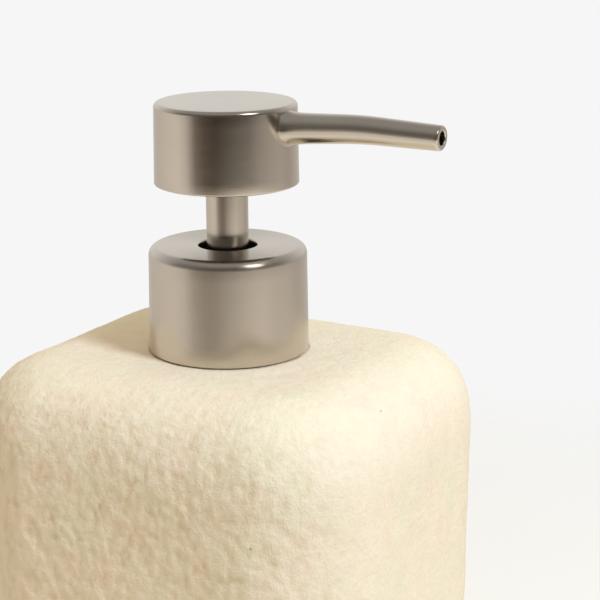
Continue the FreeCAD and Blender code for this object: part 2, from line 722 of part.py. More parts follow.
def spout_solid(root_radius, tip_radius):
    """A tapered round bar along the spout's axis: a straight rise, a long bend, a straight fall."""
    rise = math.radians(value("spout_rise"))
    droop = math.radians(value("spout_droop"))
    outwards = FreeCAD.Vector(math.cos(rise), 0, math.sin(rise))
    falling = FreeCAD.Vector(math.cos(droop), 0, -math.sin(droop))
    start = FreeCAD.Vector(value("spout_start"), 0, value("spout_level"))
    to_corner = (value("spout_bend_place") - start.x) / outwards.x
    corner = start + outwards * to_corner
    to_tip = (value("spout_reach") - corner.x) / falling.x
    tip = corner + falling * to_tip
    turn = rise + droop
    tangent = value("spout_bend_radius") * math.tan(turn / 2)
    bend_in = corner - outwards * tangent
    bend_out = corner + falling * tangent
    crown = value("spout_bend_radius") * (1 / math.cos(turn / 2) - 1)
    inward = (falling - outwards).normalize()
    path = Part.Wire([
        Part.LineSegment(start, bend_in).toShape(),
        Part.Arc(bend_in, corner + inward * crown, bend_out).toShape(),
        Part.LineSegment(bend_out, tip).toShape(),
    ])
    root = Part.Wire(Part.Circle(start, outwards, root_radius).toShape())
    end = Part.Wire(Part.Circle(tip, falling, tip_radius).toShape())
    return path.makePipeShell([root, end], True, True)


def spout():
    """The spout's outside, which the head is cut to, and the spout itself."""
    form = document.addObject("Part::Feature", "spout_form")
    form.Shape = spout_solid(value("spout_root_radius"), value("spout_tip_radius"))
    bore = spout_solid(value("spout_root_bore"), value("spout_tip_bore"))
    tube = form.Shape.cut(bore)
    tip_edge = value("spout_tip_edge")
    tip_wall = value("spout_tip_radius - spout_tip_bore")
    outer_rims = []
    for edge in tube.Edges:
        box = edge.BoundBox
        at_tip = box.XMin > value("spout_reach - spout_tip_radius")
        if at_tip and box.YLength > value("spout_tip_radius + spout_tip_bore"):
            outer_rims.append(edge)
    tube = tube.makeFillet(min(tip_edge, tip_wall / 2), outer_rims)
    spout_tube = document.addObject("Part::Feature", "spout_tube")
    spout_tube.Shape = tube
    spout_tube.Placement = FreeCAD.Placement()
    return form, spout_tube


def head_shell(cavity, form):
    outside = turned("head_blank", [
        ("0", "head_foot"),
        ("head_base_radius", "head_foot"),
        ("head_top_radius", "head_top"),
        ("0", "head_top"),
    ])
    rounded_edges(outside, "head_edge", "head_edge_radius", ("head_top_radius", "head_top"))
    rounded_edges(outside, "head_rim", "head_rim_radius", ("head_base_radius", "head_foot"))
    hollow = cut_away("head_cup", outside, cavity)
    return cut_away("head_shell", hollow, form)


def actuator_core(cavity, form):
    """The moulded core that holds the stem and the spout's root inside the metal head."""
    depth = "core_top - core_foot"
    disc = primitive(
        "Cylinder", "core_disc", Radius="head_base_radius", Height="core_disc_thickness",
        at_z="core_foot",
    )
    hub = primitive("Cylinder", "core_hub", Radius="core_hub_radius", Height=depth, at_z="core_foot")
    arm = primitive(
        "Cylinder", "core_arm", Radius="core_arm_radius", Height="head_base_radius",
        at_z="spout_level",
    )
    lying(arm, 0)
    ribs = []
    for turn in range(4):
        rib = primitive(
            "Box", f"core_rib_{turn}", Length="head_base_radius", Width="core_rib_thickness",
            Height=depth, at_z="core_foot",
        )
        angle = 45 + 90 * turn
        bind(rib, at_x=f"core_rib_thickness / 2 * sin({angle} deg)")
        bind(rib, at_y=f"-core_rib_thickness / 2 * cos({angle} deg)")
        rib.Placement.Rotation = FreeCAD.Rotation(FreeCAD.Vector(0, 0, 1), angle)
        ribs.append(rib)
    blank = joined("core_blank", disc, hub, arm, *ribs)
    trimmed = kept_inside("core_trimmed", blank, cavity)
    sleeve_socket = primitive(
        "Cylinder", "sleeve_socket", Radius="sleeve_radius", Height="sleeve_in_head",
        at_z="head_foot",
    )
    stem_socket = primitive(
        "Cylinder", "stem_socket", Radius="stem_radius", Height="stem_in_head", at_z="head_foot",
    )
    channel = primitive(
        "Cylinder", "core_channel", Radius="stem_bore_radius", Height="spout_level - head_foot",
        at_z="head_foot",
    )
    elbow = primitive(
        "Cylinder", "core_elbow", Radius="stem_bore_radius", Height="spout_start",
        at_z="spout_level",
    )
    lying(elbow, 0)
    corner = primitive("Sphere", "core_corner", Radius="stem_bore_radius", at_z="spout_level")
    tools = joined("core_hollows", sleeve_socket, stem_socket, channel, elbow, corner, form)
    return cut_away("actuator_core", trimmed, tools)


def head():
    form, spout_tube = spout()
    cavity = turned("head_cavity", [
        ("0", "head_foot"),
        ("head_base_radius - head_wall", "head_foot"),
        ("head_top_radius - head_wall", "core_top"),
        ("0", "core_top"),
    ])
    return [head_shell(cavity, form), actuator_core(cavity, form), spout_tube] + stem_pieces()


# --- build, check and write ----------------------------------------------------------------

pieces = container() + neck_insert() + pump_housing()
pieces += [ball_retainer(), inlet_ball(), piston_rod(), main_spring(), piston()]
pieces += closure() + head()
document.recompute()

for thing in document.Objects:
    if "Invalid" in thing.State or "Error" in thing.State:
        raise RuntimeError(f"{thing.Label} failed: {thing.State}")

os.makedirs("parts", exist_ok=True)
for piece in pieces:
    shape = piece.Shape
    if shape.isNull() or not shape.isValid() or not shape.Solids:
        raise RuntimeError(f"{piece.Label} is not a sound solid")
    shape.exportStep(f"parts/{piece.Label}.step")
    box = shape.BoundBox
    levels = f"z {box.ZMin:.2f} to {box.ZMax:.2f}"
    print(f"{piece.Label}: {len(shape.Solids)} solid, {shape.Volume:.1f} mm3, {levels}")
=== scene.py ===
import json
import math

import bmesh
import bpy
import numpy as np
from mathutils import Matrix, Vector, noise


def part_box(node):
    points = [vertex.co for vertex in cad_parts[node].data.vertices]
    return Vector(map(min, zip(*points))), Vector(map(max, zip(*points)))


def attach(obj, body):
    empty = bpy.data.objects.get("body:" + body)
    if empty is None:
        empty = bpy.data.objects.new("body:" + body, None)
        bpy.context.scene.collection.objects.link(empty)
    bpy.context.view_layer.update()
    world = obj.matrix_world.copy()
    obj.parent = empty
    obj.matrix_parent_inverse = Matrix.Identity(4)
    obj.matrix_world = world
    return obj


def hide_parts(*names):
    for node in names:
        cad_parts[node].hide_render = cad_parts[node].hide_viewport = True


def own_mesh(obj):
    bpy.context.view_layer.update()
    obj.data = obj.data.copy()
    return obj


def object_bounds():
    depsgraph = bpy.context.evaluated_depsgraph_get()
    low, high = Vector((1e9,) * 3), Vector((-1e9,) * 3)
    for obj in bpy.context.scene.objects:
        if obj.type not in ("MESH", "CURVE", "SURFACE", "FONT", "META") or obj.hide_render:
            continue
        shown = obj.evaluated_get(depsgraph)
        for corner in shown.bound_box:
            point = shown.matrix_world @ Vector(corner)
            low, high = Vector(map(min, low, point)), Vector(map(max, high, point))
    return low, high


# The looks of the soap pump dispenser: a rough cream cast container and a satin nickel pump.
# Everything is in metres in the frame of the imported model: +Z up the pump's axis, +X along the spout.

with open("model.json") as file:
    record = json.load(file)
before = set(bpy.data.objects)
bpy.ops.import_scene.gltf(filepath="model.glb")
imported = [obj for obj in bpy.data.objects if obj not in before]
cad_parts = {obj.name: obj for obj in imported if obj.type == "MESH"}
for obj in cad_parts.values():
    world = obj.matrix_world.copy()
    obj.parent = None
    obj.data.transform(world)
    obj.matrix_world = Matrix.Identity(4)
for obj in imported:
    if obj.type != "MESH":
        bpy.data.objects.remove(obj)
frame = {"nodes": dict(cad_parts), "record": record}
cad_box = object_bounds()

MM = 0.001


def top_of(node):
    """The node's highest corner."""
    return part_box(node)[1]


# --- mesh helpers ------------------------------------------------------------------------

SECTION_STEP = 2.5 * MM  # the longest side of a turned piece's section
ROUND_STEP = math.radians(7)
FEWEST_ROUND_STEPS = 6


def new_object(name, verts, faces, material, body, node=None, sharp_angle=35):
    """A mesh piece with smooth faces, sharp only where it bends by more than sharp_angle degrees."""
    mesh = bpy.data.meshes.new(name)
    mesh.from_pydata([tuple(v) for v in verts], [], faces)
    mesh.validate()
    piece = bpy.data.objects.new(name, mesh)
    bpy.context.collection.objects.link(piece)
    work = bmesh.new()
    work.from_mesh(mesh)
    bmesh.ops.recalc_face_normals(work, faces=work.faces)
    work.to_mesh(mesh)
    work.free()
    mesh.polygons.foreach_set("use_smooth", [True] * len(mesh.polygons))
    mesh.set_sharp_from_angle(angle=math.radians(sharp_angle))
    mesh.materials.append(material)
    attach(piece, body)
    if node:
        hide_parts(node)
    return piece


def ring_faces(rings, around, closed=False):
    """Quads between successive rings of points. closed joins the last ring to the first."""
    faces = []
    last = rings if closed else rings - 1
    for ring in range(last):
        here = ring * around
        there = ((ring + 1) % rings) * around
        for step in range(around):
            after = (step + 1) % around
            faces.append((here + step, here + after, there + after, there + step))
    return faces


def rounded_section(corners):
    """A closed section of (radius, height, rounding) corners as one list of points."""
    points = []
    count = len(corners)
    for index, (across, up, rounding) in enumerate(corners):
        corner = Vector((across, up))
        if rounding == 0:
            points.append(corner)
            continue
        before = Vector(corners[index - 1][:2]) - corner
        after = Vector(corners[(index + 1) % count][:2]) - corner
        before.normalize()
        after.normalize()
        half = before.angle(after) / 2
        centre = corner + (before + after).normalized() * (rounding / math.sin(half))
        start = corner + before * (rounding / math.tan(half)) - centre
        end = corner + after * (rounding / math.tan(half)) - centre
        sweep = start.angle_signed(end)
        steps = max(FEWEST_ROUND_STEPS, int(abs(sweep) / ROUND_STEP))
        for step in range(steps + 1):
            turn = -sweep * step / steps
            points.append(centre + Matrix.Rotation(turn, 2) @ start)
    return points


def refined(points, longest):
    """The same closed outline with its long sides divided."""
    out = []
    for index, point in enumerate(points):
        after = points[(index + 1) % len(points)]
        pieces = max(1, math.ceil((after - point).length / longest))
        for step in range(pieces):
            out.append(point.lerp(after, step / pieces))
    return out


def lathed(name, corners, material, body, node, around=256):
    """A ring-shaped piece turned about the pump's axis."""
    section = refined(rounded_section(corners), SECTION_STEP)
    verts = []
    for point in section:
        for step in range(around):
            turn = 2 * math.pi * step / around
            verts.append((point.x * math.cos(turn), point.x * math.sin(turn), point.y))
    faces = ring_faces(len(section), around, closed=True)
    return new_object(name, verts, faces, material, body, node)


def ring_across(point, along, radius, sides):
    """A circle of points square to a direction that lies in the upright plane through +X."""
    across = Vector((0, 1, 0))
    upward = along.cross(across)
    ring = []
    for side in range(sides):
        turn = 2 * math.pi * side / sides
        ring.append(point + (across * math.cos(turn) + upward * math.sin(turn)) * radius)
    return ring


# --- node helpers ------------------------------------------------------------------------


class Nodes:
    """Builds a node tree with short calls."""

    def __init__(self, tree):
        self.tree = tree
        tree.nodes.clear()

    def add(self, kind, inputs=(), **settings):
        node = self.tree.nodes.new(kind)
        for name, setting in settings.items():
            setattr(node, name, setting)
        for name, source in dict(inputs).items():
            socket = node.inputs[name]
            if isinstance(source, bpy.types.NodeSocket):
                self.tree.links.new(source, socket)
            else:
                socket.default_value = source
        return node

    def math(self, operation, first, second=0.0, clamp=False):
        node = self.add("ShaderNodeMath", operation=operation, use_clamp=clamp)
        for index, source in enumerate((first, second)):
            if isinstance(source, bpy.types.NodeSocket):
                self.tree.links.new(source, node.inputs[index])
            else:
                node.inputs[index].default_value = source
        return node.outputs[0]

    def remap(self, source, low, high, new_low, new_high):
        node = self.add("ShaderNodeMapRange", {
            "Value": source, "From Min": low, "From Max": high, "To Min": new_low, "To Max": new_high,
        })
        return node.outputs["Result"]

    def ramp(self, source, stops):
        node = self.add("ShaderNodeValToRGB", {"Fac": source})
        elements = node.color_ramp.elements
        while len(elements) < len(stops):
            elements.new(0.5)
        for element, (place, colour) in zip(elements, stops):
            element.position = place
            element.color = (*colour, 1) if isinstance(colour, tuple) else (colour, colour, colour, 1)
        return node.outputs["Color"]

    def mix(self, share, first, second):
        node = self.add("ShaderNodeMix", data_type="RGBA")
        for index, source in ((0, share), (6, first), (7, second)):
            if isinstance(source, bpy.types.NodeSocket):
                self.tree.links.new(source, node.inputs[index])
            else:
                node.inputs[index].default_value = source if index == 0 else (*source, 1)
        return node.outputs[2]

    def noise(self, place, scale, detail=3.0, roughness=0.5):
        node = self.add("ShaderNodeTexNoise", {
            "Vector": place, "Scale": scale, "Detail": detail, "Roughness": roughness,
        })
        return node.outputs["Fac"]

    def stretched(self, place, scale):
        """Coordinates multiplied by scale, axis by axis."""
        return self.add("ShaderNodeMapping", {"Vector": place, "Scale": scale}).outputs["Vector"]


def new_material(name):
    material = bpy.data.materials.new(name)
    material.use_nodes = True
    return material, Nodes(material.node_tree)


def finish_material(nodes, shader):
    nodes.add("ShaderNodeOutputMaterial", {"Surface": shader.outputs[0]})


# --- materials: the scales of their noises are in cells to the metre -------------------------


def cream_tone(nodes, place, relief, blotch, grain):
    """Rosy and green clouds with pale blotches, a light grain, and painted shade that makes the hollows
    darker and warmer.
    """
    cloud = nodes.noise(place, 75, 4, 0.6)
    tone = nodes.mix(nodes.remap(cloud, 0.4, 0.6, 0, 1), CREAM_ROSY, CREAM_GREEN)
    tone = nodes.mix(nodes.remap(blotch, 0.38, 0.62, 0, 0.8), tone, CREAM_PALE)
    tone = nodes.mix(nodes.remap(grain, 0.35, 0.7, 0.0, 0.4), tone, CREAM_LIGHT)
    # painted shade: the low places of the fine relief are darker and warmer
    return nodes.mix(nodes.remap(relief, 0.0, 0.5, 0.4, 0.0), tone, PAINTED_HOLLOW_SHADE)


def with_specks(nodes, place, tone):
    """A few small dark specks."""
    speck = nodes.add("ShaderNodeTexVoronoi", {"Vector": place, "Scale": 170, "Randomness": 1.0})
    dots = nodes.math("LESS_THAN", speck.outputs["Distance"], 0.07)
    rare = nodes.math("GREATER_THAN", nodes.noise(place, 130, 1), 0.66)
    share = nodes.math("MULTIPLY", nodes.math("MULTIPLY", dots, rare), 0.5)
    return nodes.mix(share, tone, SPECK)


def with_painted_contact_shade(nodes, place, blotch, tone):
    """Painted shade: a dark, ragged line round the collar's foot, where the gap under the collar lies in
    shadow.
    """
    level = nodes.stretched(place, (1.0, 1.0, 0.0))
    from_axis = nodes.add("ShaderNodeVectorMath", {"Vector": level}, operation="LENGTH").outputs["Value"]
    inner = nodes.remap(from_axis, PAINTED_SHADE_RADIUS - PAINTED_SHADE_WIDTH, PAINTED_SHADE_RADIUS, 0, 1)
    outer = nodes.remap(from_axis, PAINTED_SHADE_RADIUS, PAINTED_SHADE_RADIUS + PAINTED_SHADE_WIDTH, 1, 0)
    ragged = nodes.remap(blotch, 0.4, 0.58, 0.15, 0.8)
    share = nodes.math("MULTIPLY", nodes.math("MULTIPLY", inner, outer), ragged)
    # painted shade along the collar's foot, stronger where the ragged mask is high
    return nodes.mix(share, tone, PAINTED_CONTACT_SHADE)


def cast_body_material():
    """Matte cream cast stone with a fine grain."""
    material, nodes = new_material("cast_body_finish")
    place = nodes.add("ShaderNodeTexCoord").outputs["Object"]
    relief = nodes.add("ShaderNodeAttribute", attribute_name="relief").outputs["Fac"]
    blotch = nodes.noise(nodes.stretched(place, (1.0, 1.0, 0.7)), 260, 4, 0.65)
    grain = nodes.noise(place, 950, 5, 0.65)
    fibre = nodes.noise(nodes.stretched(place, (1.0, 1.0, 0.55)), 1500, 4, 0.7)

    tone = cream_tone(nodes, place, relief, blotch, grain)
    tone = with_specks(nodes, place, tone)
    # painted shade in a thin ring where the collar meets the body
    tone = with_painted_contact_shade(nodes, place, blotch, tone)

    height = nodes.math("ADD", nodes.math("MULTIPLY", grain, 0.6), nodes.math("MULTIPLY", fibre, 0.4))
    bump = nodes.add("ShaderNodeBump", {"Height": height, "Strength": 1.0, "Distance": GRAIN_DEPTH})
    shader = nodes.add("ShaderNodeBsdfPrincipled", {
        "Base Color": tone, "Roughness": nodes.remap(grain, 0.3, 0.7, 0.86, 0.97),
        "Normal": bump.outputs["Normal"], "Specular IOR Level": 0.25,
    })
    finish_material(nodes, shader)
    return material


def satin_nickel_material(name, radial_axis, grain_scale, roughness, anisotropy, grain_depth=0.04):
    """Warm satin nickel with a fine grain, whose gloss spreads along its axis."""
    material, nodes = new_material(name)
    place = nodes.add("ShaderNodeTexCoord").outputs["Object"]
    grain = nodes.noise(nodes.stretched(place, grain_scale), 1.0, 3, 0.7)
    smudge = nodes.noise(place, 70, 3, 0.5)
    tint = nodes.mix(nodes.remap(smudge, 0.35, 0.65, 0, 1), NICKEL_DARK, NICKEL)
    rough = nodes.remap(grain, 0.3, 0.7, roughness - 0.015, roughness + 0.02)
    bump = nodes.add("ShaderNodeBump", {"Height": grain, "Strength": grain_depth, "Distance": 0.01 * MM})
    tangent = nodes.add("ShaderNodeTangent", direction_type="RADIAL", axis=radial_axis)
    shader = nodes.add("ShaderNodeBsdfPrincipled", {
        "Base Color": tint, "Metallic": 1.0, "Roughness": rough, "Anisotropic": anisotropy,
        "Anisotropic Rotation": ACROSS_GRAIN, "Tangent": tangent.outputs["Tangent"],
        "Normal": bump.outputs["Normal"],
    })
    finish_material(nodes, shader)
    return material


def plastic_material(name, colour, roughness, speckle=0.04):
    """Moulded plastic with a faint orange peel."""
    material, nodes = new_material(name)
    place = nodes.add("ShaderNodeTexCoord").outputs["Object"]
    peel = nodes.noise(place, 900, 3, 0.5)
    darker = tuple(channel * (1 - 3 * speckle) for channel in colour)
    tone = nodes.mix(nodes.remap(nodes.noise(place, 140, 2), 0.35, 0.65, 0, 1), darker, colour)
    rough = nodes.remap(peel, 0.3, 0.7, roughness - speckle, roughness + speckle)
    bump = nodes.add("ShaderNodeBump", {"Height": peel, "Strength": 0.15, "Distance": 0.02 * MM})
    shader = nodes.add("ShaderNodeBsdfPrincipled", {
        "Base Color": tone, "Roughness": rough, "Normal": bump.outputs["Normal"],
    })
    finish_material(nodes, shader)
    return material


def steel_material():
    """Bright drawn stainless steel for the spring and the ball."""
    material, nodes = new_material("bright_steel_finish")
    place = nodes.add("ShaderNodeTexCoord").outputs["Object"]
    streak = nodes.noise(nodes.stretched(place, (400, 400, 2500)), 1.0, 2)
    shader = nodes.add("ShaderNodeBsdfPrincipled", {
        "Base Color": nodes.mix(streak, (0.58, 0.58, 0.59), (0.7, 0.7, 0.71)),
        "Metallic": 1.0, "Roughness": nodes.remap(streak, 0.3, 0.7, 0.16, 0.26),
    })
    finish_material(nodes, shader)
    return material


GRAIN_DEPTH = 0.4 * MM
CREAM_PALE = (0.92, 0.81, 0.62)
CREAM_ROSY = (0.905, 0.745, 0.585)
CREAM_GREEN = (0.85, 0.785, 0.59)
CREAM_LIGHT = (0.94, 0.845, 0.665)
# colour of the painted shade in the hollows of the relief
PAINTED_HOLLOW_SHADE = (0.76, 0.60, 0.38)
SPECK = (0.35, 0.27, 0.18)
# colour of the painted shade in the line round the collar's foot
PAINTED_CONTACT_SHADE = (0.36, 0.20, 0.10)
PAINTED_SHADE_RADIUS = top_of("collar_shell").x
PAINTED_SHADE_WIDTH = 0.4 * MM
NICKEL = (0.655, 0.598, 0.527)
NICKEL_DARK = (0.63, 0.57, 0.50)

ACROSS_GRAIN = 0.25  # highlights stretch across the turned grain, so up the walls

FINISHES = {
    "cast_body": cast_body_material(),
    "foam_pad": plastic_material("foam_pad_finish", (0.60, 0.55, 0.46), 0.9),
    "satin_nickel": satin_nickel_material("satin_nickel_blasted", "Z", (2500, 2500, 4500), 0.25, 0.72),
    "bright_steel": steel_material(),
    "dark_plastic": plastic_material("dark_plastic_finish", (0.025, 0.025, 0.026), 0.45),
    "natural_plastic": plastic_material("natural_plastic_finish", (0.80, 0.80, 0.78), 0.42),
    "soft_seal": plastic_material("soft_seal_finish", (0.75, 0.75, 0.72), 0.85),
}
HEAD_FINISH = satin_nickel_material("satin_nickel_turned", "Z", (150, 150, 6000), 0.165, 0.3)
SPOUT_FINISH = satin_nickel_material("satin_nickel_drawn", "X", (1800, 2500, 2500), 0.22, 0.2, 0.14)


def finish_cad_nodes():
    """Every CAD node that stays shown gets its slot's material."""
    slots = {part["node"]: part["material_slot"] for part in frame["record"]["subparts"]}
    for name, thing in frame["nodes"].items():
        thing.data.materials.clear()
        thing.data.materials.append(FINISHES[slots[name]])


# --- the container -----------------------------------------------------------------------

BODY_CORNER = 22 * MM
SHOULDER = 18.5 * MM  # where the shoulder starts to bend, in from the corner
SHOULDER_SQUARENESS = 2.46  # 2 would be a circle's arc; more bends it softly at both ends
BASE_EDGE = 4 * MM
WALL = 5 * MM
INNER_SHOULDER = 10.5 * MM
MOUTH_RADIUS = 13.4 * MM
SIDE_LEAN = math.radians(1.1)
MESH_STEP = 0.55 * MM
TIGHTEST_CORNER = 1 * MM
BASE_EDGE_STEPS = 12
INNER_STEPS = 8

# the relief's layers: size across and height, in mm
WAVE_SIZE, WAVE_HEIGHT = 19, 0.42
DENT_SIZE, DENT_HEIGHT = 8, 0.13
LUMP_SIZE, LUMP_HEIGHT = 2.6, 0.19
FLAKE_SIZE, FLAKE_HEIGHT = 1.3, 0.22
CREASE_SIZE, CREASE_DEPTH, CREASE_NARROWNESS = 2.2, 0.10, 7
PIT_SIZE, PIT_DEPTH, PIT_RARITY = 1.5, 0.55, 0.42
DRAWN_UP = 0.7  # below 1, lumps, flakes and creases are taller than they are wide
SKIN_DROP = 0.05 * MM  # the whole skin sinks this far, which makes up for some of its lumps
RELIEF_SPAN = 0.4 * MM  # the relief attribute goes from 0 to 1 over this height
COLLAR_CLEAR = 17.5 * MM  # the relief starts here, from the axis
COLLAR_FADE = 4 * MM  # and is whole after this distance
FOOT_FADE = 3 * MM  # and after this height above the foot
TOP_WEAR = 0.65  # how much smoother the top is than the front
RIGHT_WEAR = 0.8  # and the spout's side


def rounded_ring(half_x, half_y, corner, height, around):
    """Points round a rounded rectangle, shared out so that each ring's points line up."""
    quarter = around // 4
    points = []
    for turn in range(4):
        reach, side = (half_x, half_y) if turn % 2 == 0 else (half_y, half_x)
        straight = max(side - corner, 0.0)
        far_straight = max(reach - corner, 0.0)
        arc = corner * math.pi / 2
        run = straight + arc + far_straight
        angle = turn * math.pi / 2
        for step in range(quarter):
            along = run * step / quarter
            if along < straight:
                x, y = reach, along
            elif along < straight + arc:
                bend = (along - straight) / corner
                x = reach - corner + corner * math.cos(bend)
                y = side - corner + corner * math.sin(bend)
            else:
                x, y = far_straight - (along - straight - arc), side
            points.append((
                x * math.cos(angle) - y * math.sin(angle),
                x * math.sin(angle) + y * math.cos(angle),
                height,
            ))
    return points


def container_profile():
    """(inset from the widest outline, height) pairs from the base edge up to the flat top."""
    low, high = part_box("body_shell")
    widest = high.z - SHOULDER
    lean = math.tan(SIDE_LEAN)
    pairs = []
    for step in range(BASE_EDGE_STEPS):
        turn = math.pi / 2 * step / BASE_EDGE_STEPS
        inset = BASE_EDGE * (1 - math.sin(turn))
        height = low.z + BASE_EDGE * (1 - math.cos(turn))
        pairs.append((inset + (widest - height) * lean, height))
    steps = int((widest - low.z - BASE_EDGE) / MESH_STEP)
    for step in range(steps):
        height = low.z + BASE_EDGE + (widest - low.z - BASE_EDGE) * step / steps
        pairs.append(((widest - height) * lean, height))
    steps = int(SHOULDER * math.pi / 2 / MESH_STEP)
    power = 2 / SHOULDER_SQUARENESS
    for step in range(steps + 1):
        turn = math.pi / 2 * step / steps
        inset = SHOULDER * (1 - max(math.cos(turn), 0.0) ** power)
        pairs.append((inset, widest + SHOULDER * math.sin(turn) ** power))
    return pairs


def noise_layer(at, size, origin):
    """Smooth noise whose lumps are about size across, taken from round an origin of its own."""
    return noise.noise(at / size + Vector(origin))


def relief_at(point):
    """Height of the rough surface at a point, in metres: all of it, and the fine part alone."""
    at = point / MM
    tall = Vector((at.x, at.y, at.z * DRAWN_UP))
    wave = noise_layer(at, WAVE_SIZE, (2, 9, 4)) * WAVE_HEIGHT
    dent = noise_layer(at, DENT_SIZE, (5, 1, 8)) * DENT_HEIGHT
    lump = noise_layer(tall, LUMP_SIZE, (3, 7, 2)) * LUMP_HEIGHT
    flake = noise_layer(tall, FLAKE_SIZE, (9, 4, 6)) * FLAKE_HEIGHT
    crease = 1 - abs(noise_layer(tall, CREASE_SIZE, (1, 12, 5))) * CREASE_NARROWNESS
    pit = noise_layer(at, PIT_SIZE, (20, 3, 11)) - PIT_RARITY
    fine = lump + flake - CREASE_DEPTH * max(0.0, crease) - PIT_DEPTH * max(0.0, pit)
    return (wave + dent + fine) * MM, fine * MM


def container():
    """The cast shell as one closed skin: up the outside, in to the mouth and down the inside."""
    low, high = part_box("body_shell")
    half_x, half_y = high.x, high.y
    outline = 2 * (2 * half_x + 2 * half_y) - (8 - 2 * math.pi) * BODY_CORNER
    around = 4 * int(outline / MESH_STEP / 4)
    verts = []
    for inset, height in container_profile():
        corner = max(BODY_CORNER - inset, TIGHTEST_CORNER)
        verts += rounded_ring(half_x - inset, half_y - inset, corner, height, around)
    rim = verts[-around:]
    steps = int((half_x - SHOULDER - MOUTH_RADIUS) / MESH_STEP)
    for step in range(1, steps + 1):
        share = step / steps
        for x, y, z in rim:
            bearing = math.atan2(y, x)
            end_x, end_y = MOUTH_RADIUS * math.cos(bearing), MOUTH_RADIUS * math.sin(bearing)
            verts.append((x + (end_x - x) * share, y + (end_y - y) * share, z))
    outer_count = len(verts)

    ceiling = high.z - WALL
    verts += [(x, y, ceiling) for x, y, z in verts[-around:]]
    for step in range(INNER_STEPS + 1):
        turn = math.pi / 2 * (1 - step / INNER_STEPS)
        inset = WALL + INNER_SHOULDER * (1 - math.cos(turn))
        height = ceiling - INNER_SHOULDER + INNER_SHOULDER * math.sin(turn)
        verts += rounded_ring(half_x - inset, half_y - inset, BODY_CORNER - inset, height, around)
    inset = WALL + (high.z - SHOULDER - low.z) * math.tan(SIDE_LEAN)
    verts += rounded_ring(half_x - inset, half_y - inset, BODY_CORNER - inset, low.z, around)

    faces = ring_faces(len(verts) // around, around, closed=True)
    finish = FINISHES["cast_body"]
    piece = new_object("container_cast", verts, faces, finish, "container", "body_shell", sharp_angle=60)
    roughen(piece, outer_count, low.z)


def roughen(piece, count, foot):
    """Move the outer skin along its normals by the relief, and keep the fine relief as the mask of the
    painted shade in its hollows.
    """
    mesh = piece.data
    fine = np.full(len(mesh.vertices), 0.5, dtype=np.float32)
    moved = []
    for index in range(count):
        vertex = mesh.vertices[index]
        place = vertex.co
        total, small = relief_at(place)
        from_axis = math.hypot(place.x, place.y)
        near_collar = min(max((from_axis - COLLAR_CLEAR) / COLLAR_FADE, 0.0), 1.0)
        near_floor = min(max((place.z - foot) / FOOT_FADE, 0.0), 1.0)
        worn = 1 - TOP_WEAR * max(vertex.normal.z, 0.0) ** 2 - RIGHT_WEAR * max(vertex.normal.x, 0.0) ** 2
        rise = total - small + small * worn - SKIN_DROP
        moved.append(place + vertex.normal * rise * near_collar * near_floor)
        fine[index] = 0.5 + small * worn / RELIEF_SPAN
    for index, place in enumerate(moved):
        mesh.vertices[index].co = place
    attribute = mesh.attributes.new("relief", "FLOAT", "POINT")
    attribute.data.foreach_set("value", fine)
    mesh.update()


# --- the metal pieces --------------------------------------------------------------------

COLLAR_WALL = 0.6 * MM
COLLAR_DRAFT = 0.3 * MM
COLLAR_EDGE = 1.9 * MM
COLLAR_HOLE = 6.06 * MM
HEAD_WALL = 0.8 * MM
HEAD_DRAFT = 0.26 * MM
HEAD_EDGE = 0.95 * MM
SLEEVE_WALL = 0.6 * MM
HEAD_FOOT_EDGE = 0.35 * MM
HEAD_INNER_EDGE = 0.3 * MM
HOLE_EDGE = 0.28 * MM
RIM = 0.12 * MM
PIN_HOLE = 0.01 * MM  # closes a disc that is turned as a ring


def metal_collar():
    low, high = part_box("collar_shell")
    foot_radius, top_radius = high.x, high.x - COLLAR_DRAFT
    lathed("collar_metal", [
        (COLLAR_HOLE, high.z, HOLE_EDGE),
        (top_radius, high.z, COLLAR_EDGE),
        (foot_radius, low.z, RIM),
        (foot_radius - COLLAR_WALL, low.z, RIM),
        (top_radius - COLLAR_WALL, high.z - COLLAR_WALL, COLLAR_EDGE - COLLAR_WALL),
        (COLLAR_HOLE, high.z - COLLAR_WALL, 0),
    ], FINISHES["satin_nickel"], "closure", "collar_shell")


def metal_head():
    low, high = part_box("head_shell")
    foot_radius = high.x
    top_radius = foot_radius - HEAD_DRAFT
    lathed("head_metal", [
        (PIN_HOLE, high.z, 0),
        (top_radius, high.z, HEAD_EDGE),
        (foot_radius, low.z, HEAD_FOOT_EDGE),
        (foot_radius - HEAD_WALL, low.z, RIM),
        (top_radius - HEAD_WALL, high.z - HEAD_WALL, HEAD_INNER_EDGE),
        (PIN_HOLE, high.z - HEAD_WALL, 0),
    ], HEAD_FINISH, "head", "head_shell")


def metal_sleeve():
    low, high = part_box("stem_sleeve")
    lathed("sleeve_metal", [
        (high.x, high.z, RIM),
        (high.x, low.z, RIM),
        (high.x - SLEEVE_WALL, low.z, 0),
        (high.x - SLEEVE_WALL, high.z, 0),
    ], HEAD_FINISH, "head", "stem_sleeve", around=128)


SPOUT_RISE = math.radians(3.75)
SPOUT_DROOP = math.radians(1.3)
SPOUT_BEND_PLACE = 30.6 * MM
SPOUT_BEND_RADIUS = 90 * MM
SPOUT_START = 6 * MM
SPOUT_HEIGHT = 24.48 * MM
SPOUT_ROOT = (3.3 * MM, 2.1 * MM)
SPOUT_TIP = (2.47 * MM, 1.36 * MM)
SPOUT_LIP = 0.45 * MM
SPOUT_FLARE = 0.55 * MM  # how much the root widens where it meets the head
FLARE_FADE = 1.1 * MM
BORE_LIP = 0.25 * MM
SPOUT_SIDES = 96
RISE_STEPS = 48
BEND_STEPS = 16
FALL_STEPS = 24
LIP_STEPS = 10
BORE_LIP_STEPS = 6


